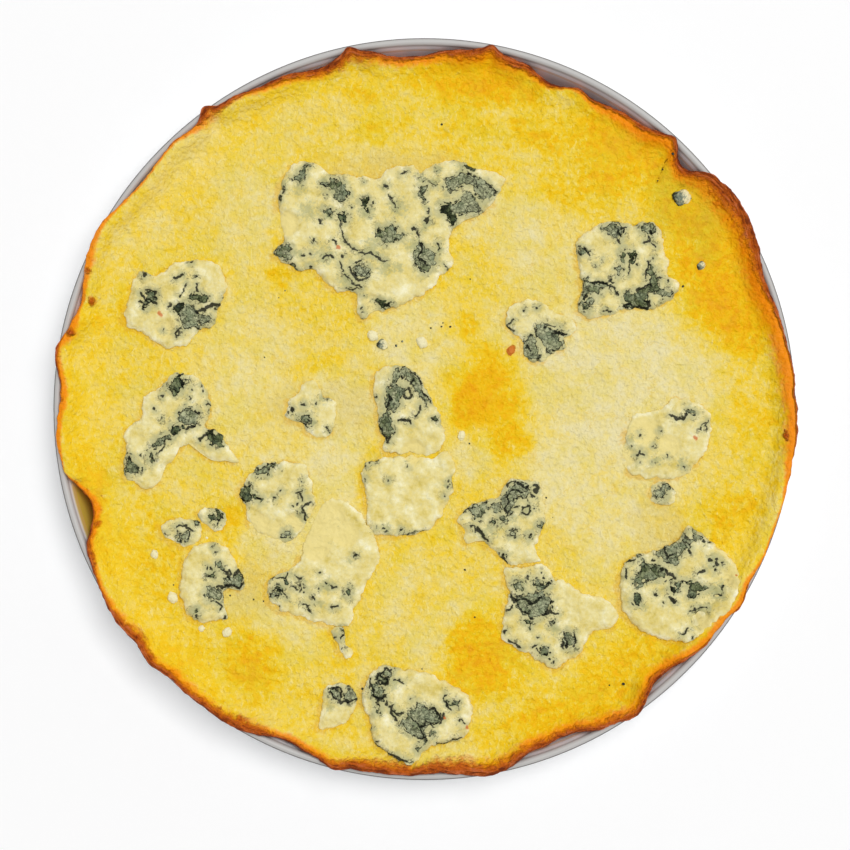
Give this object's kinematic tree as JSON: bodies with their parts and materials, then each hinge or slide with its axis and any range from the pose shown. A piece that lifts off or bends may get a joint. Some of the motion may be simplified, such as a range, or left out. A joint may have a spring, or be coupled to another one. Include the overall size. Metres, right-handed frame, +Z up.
{
  "type": "cheese pizza in a baking tin",
  "caption": "Round flourless cheese pizza with blue cheese pieces melted on top, in its shallow round metal baking tin.",
  "frame": {"origin": "centre of the baking tin's flat underside", "axes": "+Z up, away from the surface it stands on; +Y towards the top of the pictured view"},
  "size_m": [0.2805, 0.28, 0.0229],
  "materials": {
    "tin": "bright, slightly worn metal",
    "baked_cheese": "oily baked cheese, golden yellow with a browned edge",
    "blue_cheese": "soft creamy cheese with grey-green veins"
  },
  "bodies": {
    "root": {"baking_tin": "tin", "cheese_base": "baked_cheese", "cheese_top_cluster": "blue_cheese", "cheese_upper_right": "blue_cheese", "cheese_upper_right_small": "blue_cheese", "cheese_left_upper": "blue_cheese", "cheese_left_middle": "blue_cheese", "cheese_centre_left": "blue_cheese", "cheese_centre_vein": "blue_cheese", "cheese_centre_plain": "blue_cheese", "cheese_left_centre": "blue_cheese", "cheese_lower_centre": "blue_cheese", "cheese_lower_tail": "blue_cheese", "cheese_lens_left": "blue_cheese", "cheese_lens_right": "blue_cheese", "cheese_lower_left": "blue_cheese", "cheese_bottom": "blue_cheese", "cheese_bottom_small": "blue_cheese", "cheese_low_right_upper": "blue_cheese", "cheese_low_right_lower": "blue_cheese", "cheese_right_pale": "blue_cheese", "cheese_right_small": "blue_cheese", "cheese_lower_right": "blue_cheese"}
  },
  "joints": []
}
